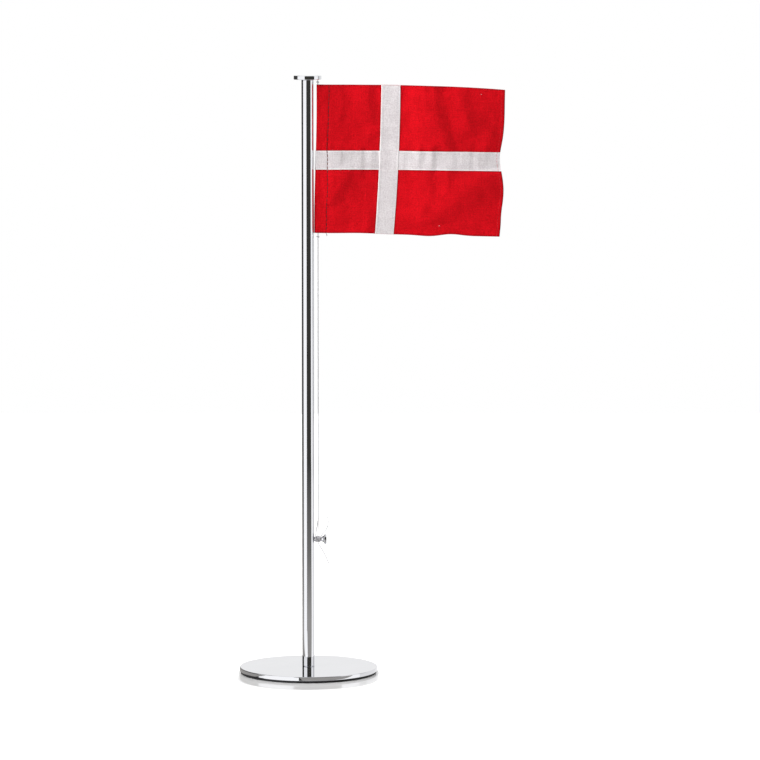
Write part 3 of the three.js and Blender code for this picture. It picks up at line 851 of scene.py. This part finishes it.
def upright_grid(steps=215):
    share = ribbon_shares()[None, :]
    down = np.linspace(0, 1, steps)[:, None] * np.ones_like(share)
    left, right = upright_edges(down)
    return lerp(left, right, share), down, share


def make_ribbons():
    made = []
    for side, word in ((-1, "front"), (1, "back")):
        x, down, share = bar_grid()
        made.append(ribbon("bar_tape_" + word, side, x, down, x, share, 0.0 * x, "ribbon_bar_" + word))
        x, down, share = upright_grid()
        top, bottom = bar_edges(x)
        over = np.minimum(down - top, bottom - down) * ROW_MM
        raised = RIBBON_LAYER * smoothstep(-1.1, 0.1, over)
        made.append(ribbon("upright_tape_" + word, side, x, down, down * ROW_MM, share, raised,
                           "ribbon_upright_" + word))
    return made


def stitches(name, lines, radius, pitch, gap, material, slot):
    """Rows of short straight stitches. Each line is (x, down, side) as functions of a distance in
    mm along it, with the line's length and start."""
    paths = []
    rise = np.array([-0.2, -0.06, 0.0, 0.02, 0.0, -0.06, -0.2]) + 0.07
    for x_at, down_at, side, length, start in lines:
        count = int((length - start) / pitch)
        slip = rng.uniform(-0.08, 0.08, (count, 2))
        run = np.linspace(0, pitch - gap, 7)
        s = start + np.arange(count)[:, None] * pitch + run + slip[:, :1]
        x, down = x_at(s) + slip[:, 1:] * 0.6 * run / pitch, down_at(s)
        lift = (CLOTH_HALF + 0.015 + RIBBON_LAYER * bar_cover(x, down, 0.5) * 0.85
                + RIBBON_LAYER * upright_cover(x, down, 0.5))
        paths += list(place(x, down, side, lift + rise))
    obj = tubes_object(name, paths, radius, 6)
    return dress(obj, material, "flag", slot)


def seam_x(down):
    return (lerp(*SEAM_X, down) + 0.22 * np.sin(11 * down + 0.6) + 0.12 * np.sin(29 * down)
            - 0.45 * np.exp(-((down - 0.44) / 0.05) ** 2))


def make_seam():
    lines = [(lambda s: seam_x(s / ROW_MM), lambda s: s / ROW_MM, -1, ROW_MM, 0.3),
             (lambda s: seam_x(s / ROW_MM), lambda s: s / ROW_MM, 1, ROW_MM, 0.2)]
    return stitches("sleeve_seam", lines, 0.25, 2.6, 0.3, RED_THREAD, "red_cloth")


def make_ribbon_stitches():
    lines = []
    for side in (-1, 1):
        for inset in (1.8, -2.2):
            def bar_down(s, inset=inset):
                top, bottom = bar_edges(s)
                return (top if inset > 0 else bottom) + inset / ROW_MM
            lines.append((lambda s: s, bar_down, side, 124.0, 7.6))

            def upright_x(s, inset=inset):
                left, right = upright_edges(s / ROW_MM)
                return (left if inset > 0 else right) + inset * 0.85
            lines.append((upright_x, lambda s: s / ROW_MM, side, ROW_MM - 0.4, 0.5))
    return stitches("ribbon_stitches", lines, 0.1, STITCH_PITCH, 0.75, WHITE_THREAD, "white_ribbon")


def make_fly_hem(width=2.7):
    """The fly edge turned under and sewn down: a narrow second layer behind the cloth."""
    down = np.linspace(0, 1, 151)[:, None] * np.ones((1, 7))
    share = np.array([0, 0.03, 0.2, 0.5, 0.8, 0.97, 1.0])[None, :]
    lift = 0.1 + np.array([0.12, 0.24, 0.27, 0.26, 0.26, 0.2, 0.02])[None, :] * np.ones_like(down)
    x = fly_x(down) + 0.08 - width * (1 - share)
    outer = place(x, down, 1, lift)
    inner = place(x, down, 1, 0.0 * lift + 0.1)
    rows, columns = outer.shape[:2]
    layer = rows * columns
    faces = grid_faces(rows, columns)
    faces += [tuple(i + layer for i in face[::-1]) for face in faces]
    for r in range(rows - 1):
        a, b = r * columns, (r + 1) * columns
        faces += [(b, a, a + layer, b + layer),
                  (a + columns - 1, b + columns - 1, b + columns - 1 + layer, a + columns - 1 + layer)]
    points = np.vstack([outer.reshape(-1, 3), inner.reshape(-1, 3)])
    hem = dress(mesh_object("fly_hem", points, faces), RED, "flag", "red_cloth")
    lines = [(lambda s: fly_x(s / ROW_MM) - 2.0, lambda s: s / ROW_MM, side, ROW_MM, 0.4)
             for side in (-1, 1)]
    return [hem, stitches("fly_stitches", lines, 0.09, 1.9, 0.45, HEM_THREAD, "red_cloth")]


def make_cut_edges():
    """The top and bottom edges are heat-cut, which leaves a fine bead."""
    paths = []
    for down in (0.0, 1.0):
        x = np.linspace(LINE_X, fly_x(down), 260)
        paths.append(place(x, down + 0.0 * x, -1, 0.0 * x + 0.02 * np.sin(x * 2.1)))
        x = np.linspace(LINE_X, lerp(*SEAM_X, down) + 1.2, 30)
        paths.append(place(x, down + 0.0 * x, 1, 0.0 * x))
        near = sleeve_columns(down, 12)
        for side in (-1, 1):
            paths.append(place(near, down + 0.0 * near, side, 0.0 * near))
    return dress(tubes_object("cut_edges", paths, 0.16, 8), EDGE, "flag", "red_cloth")


def make_loose_threads():
    down = np.array([0.992, 1.0])
    tail = place(seam_x(down), down, -1, np.array([0.2, 0.16]))
    end = tail[-1]
    tail = np.vstack([tail, end + (0.12, -0.1, -0.7), end + (0.5, -0.1, -1.3), end + (0.4, 0, -2.1)])
    return dress(tubes_object("seam_tail", [smooth_path(tail, 4)], 0.15, 6), RED_THREAD, "flag", "red_cloth")


def make_lint():
    paths = []
    for x, down, turn in ((112.3, 0.04, 0.5), (85.3, 0.935, 0.2)):
        s = np.linspace(-0.5, 0.5, 6)
        paths.append(place(x + s * math.cos(turn), down + s * math.sin(turn) / ROW_MM, -1,
                           0.2 + 0.15 * np.cos(s * 3)))
    return dress(tubes_object("lint", paths, 0.1, 6), WHITE_THREAD, "flag", "white_ribbon")


def make_knot(name, node):
    """Two turns of nylon line drawn tight round the halyard, with cut ends."""
    low, high = box_mm(node)
    middle = 0.5 * (low[2] + high[2])
    turns = 2.4
    angle = np.linspace(0, 2 * math.pi * turns, 70)
    rise = np.linspace(-0.5, 0.5, 70) * (high[2] - low[2] - 2 * LINE_RADIUS)
    coil = np.stack([LINE_X + 0.66 * np.cos(angle), 0.8 * np.sin(angle), middle + rise], axis=1)
    across = np.array([(LINE_X + 0.72, -0.35, middle - 0.35), (LINE_X + 0.2, -0.78, middle - 0.05),
                       (LINE_X - 0.45, -0.74, middle + 0.3), (LINE_X - 0.75, -0.2, middle + 0.4)])
    obj = tubes_object(name, [coil, smooth_path(across, 6)], LINE_RADIUS * 0.92, 10)
    return dress(obj, KNOTS, "halyard_knots", "nylon_line", node)


cloth = make_field()
extras = [*make_ribbons(), make_seam(), make_ribbon_stitches(), *make_fly_hem(), make_cut_edges(),
          make_loose_threads(), make_lint()]
make_knot("stop_knot_upper", "knot_upper")
make_knot("stop_knot_lower", "knot_lower")


# ---------------------------------------------------------------- stage

FLOOR_SIZE = 1.6
FLOOR_GLOSS = 0.6
FLOOR_GLOSS_REACH = 0.026
FLOOR_GLOSS_EDGE = (0.0452, 0.0462)
SHELL_RADIUS = 4.6
SHELL_Z = 0.25
GROUND_CARD_Z = -0.4


def glow(name, colour, strength, fade=None):
    """An even glow with a faint drift, as a lit diffuser has. fade is a list of (distance, strength),
    outwards from the stand, that starts at the full strength."""
    material, nodes, links, shader = new_material(name)
    vector = object_coordinates(nodes, links)
    drift = noise(nodes, links, vector, 0.4, 1.0)
    tint = ramp(nodes, links, drift, [(0.3, [c * 0.97 for c in colour]), (0.7, colour)])
    links.new(tint, shader.inputs["Emission Color"])
    shader.inputs["Emission Strength"].default_value = strength
    shader.inputs["Base Color"].default_value = (0, 0, 0, 1)
    shader.inputs["Specular IOR Level"].default_value = 0
    if fade is not None:
        distance = add(nodes, "ShaderNodeVectorMath", operation="LENGTH")
        links.new(vector, distance.inputs[0])
        level = strength
        for (near, high), (far, low) in zip(fade, fade[1:]):
            drop = remap(nodes, links, distance.outputs["Value"], near, far, 0.0, high - low)
            level = math_node(nodes, links, "SUBTRACT", level, drop)
        links.new(level, shader.inputs["Emission Strength"])
    return material


def card(name, azimuths, elevations, material, reflected=True, lighting=True):
    """A part of a sphere round the stand that the camera doesn't see. Azimuth 0 is in front."""
    columns = max(2, int(abs(azimuths[1] - azimuths[0]) / 4) + 1)
    rows = max(2, int(abs(elevations[1] - elevations[0]) / 6) + 1)
    points = []
    for elevation in np.radians(np.linspace(*elevations, rows)):
        for azimuth in np.radians(np.linspace(*azimuths, columns)):
            level = SHELL_RADIUS * math.cos(elevation)
            points.append((level * math.sin(azimuth), -level * math.cos(azimuth),
                           SHELL_Z + SHELL_RADIUS * math.sin(elevation)))
    obj = mesh_object(name, np.array(points) / MM, grid_faces(rows, columns))
    obj.data.materials.append(material)
    obj.visible_camera = False
    obj.visible_glossy = reflected
    obj.visible_diffuse = lighting
    obj.visible_shadow = lighting


def ground_card(name, outline, material):
    """A flat grey patch just under the floor that only reflections see."""
    points = [(x, y, GROUND_CARD_Z) for x, y in outline]
    obj = mesh_object(name, points, [tuple(range(len(points)))])
    obj.data.materials.append(material)
    obj.visible_camera = False
    obj.visible_diffuse = False
    obj.visible_shadow = False
    obj.visible_transmission = False


def make_floor():
    """A pale floor that mirrors the base in a patch which reaches a little in front of it."""
    size = FLOOR_SIZE / MM
    obj = mesh_object("floor", [(-size, -size, 0), (size, -size, 0), (size, size, 0), (-size, size, 0)],
                      [(0, 1, 2, 3)])
    material, nodes, links, shader = new_material("floor_white")
    vector = object_coordinates(nodes, links)
    paper = noise(nodes, links, vector, 3.0)
    links.new(ramp(nodes, links, paper, [(0.3, (0.90, 0.90, 0.90)), (0.7, (0.92, 0.92, 0.92))]),
              shader.inputs["Base Color"])
    shader.inputs["Specular IOR Level"].default_value = 0
    shader.inputs["Roughness"].default_value = 1
    shader.inputs["Emission Color"].default_value = (1, 1, 1, 1)
    shader.inputs["Emission Strength"].default_value = 0.3
    gloss = add(nodes, "ShaderNodeBsdfGlossy", Roughness=0.03, Color=(0.55, 0.55, 0.56, 1.0))
    split = add(nodes, "ShaderNodeSeparateXYZ")
    links.new(vector, split.inputs["Vector"])
    within = math_node(nodes, links, "MAXIMUM", split.outputs["Y"], -FLOOR_GLOSS_REACH)
    beyond = math_node(nodes, links, "SUBTRACT", split.outputs["Y"],
                       math_node(nodes, links, "MINIMUM", within, 0.0))
    place_on_floor = add(nodes, "ShaderNodeCombineXYZ")
    links.new(split.outputs["X"], place_on_floor.inputs["X"])
    links.new(beyond, place_on_floor.inputs["Y"])
    distance = add(nodes, "ShaderNodeVectorMath", operation="LENGTH")
    links.new(place_on_floor.outputs["Vector"], distance.inputs[0])
    near = remap(nodes, links, distance.outputs["Value"], *FLOOR_GLOSS_EDGE, FLOOR_GLOSS, 0.0)
    mix = add(nodes, "ShaderNodeMixShader")
    links.new(near, mix.inputs["Fac"])
    links.new(shader.outputs[0], mix.inputs[1])
    links.new(gloss.outputs[0], mix.inputs[2])
    links.new(mix.outputs[0], nodes["Material Output"].inputs["Surface"])
    obj.data.materials.append(material)
    obj.visible_glossy = False
    obj.visible_diffuse = False


make_floor()
card("key_light", (-97, -24), (-45, 58), glow("key_light", (1, 0.99, 0.985), 3.7), reflected=False)
card("key_seen", (-91, -24), (-60, 60), glow("key_seen", (1, 1, 1), 1.36), lighting=False)
card("fill_seen", (58, 96), (-60, 60), glow("fill_seen", (1, 1, 1), 1.3), lighting=False)
card("overhead", (0, 360), (64, 90), glow("overhead", (1, 1, 1), 2.6), reflected=False)
card("dark_front", (-24, 58), (-58, 56), glow("dark_front", (1.0, 0.97, 0.86), 0.052))
card("dark_left", (-168, -91), (-58, 56), glow("dark_left", (1.0, 0.99, 0.95), 0.06))
card("grey_right", (96, 114), (-8.4, 50), glow("grey_right", (1, 1, 1), 0.62))
GROUND = glow("ground_grey", (1.0, 0.97, 0.93), 0.40,
              [(0.24, 0.40), (0.58, 0.20), (1.0, 0.11), (1.2, 0.05)])
ground_card("ground_light", [(-5.6, -45), (-12.6, -71), (-60, -180), (-90, -150), (-52, -46), (-30, -34)],
            glow("ground_light", (1, 1, 1), 1.36))
ground_card("ground_front", [(0, -46), (12, -52), (60, -37), (245, -114), (1040, -580), (680, -980),
                             (160, -1184), (-440, -1120), (-96, -250), (-11.2, -71)], GROUND)
ground_card("ground_left", [(-45, -20), (-53.5, -42.7), (-266, 33), (-1180, 240), (-920, 760), (-600, 1040),
                            (-20, 60), (-30, 36)], GROUND)

world = bpy.data.worlds.new("studio")
world.use_nodes = True
world.node_tree.nodes["Background"].inputs["Color"].default_value = (1, 1, 1, 1)
scene.world = world
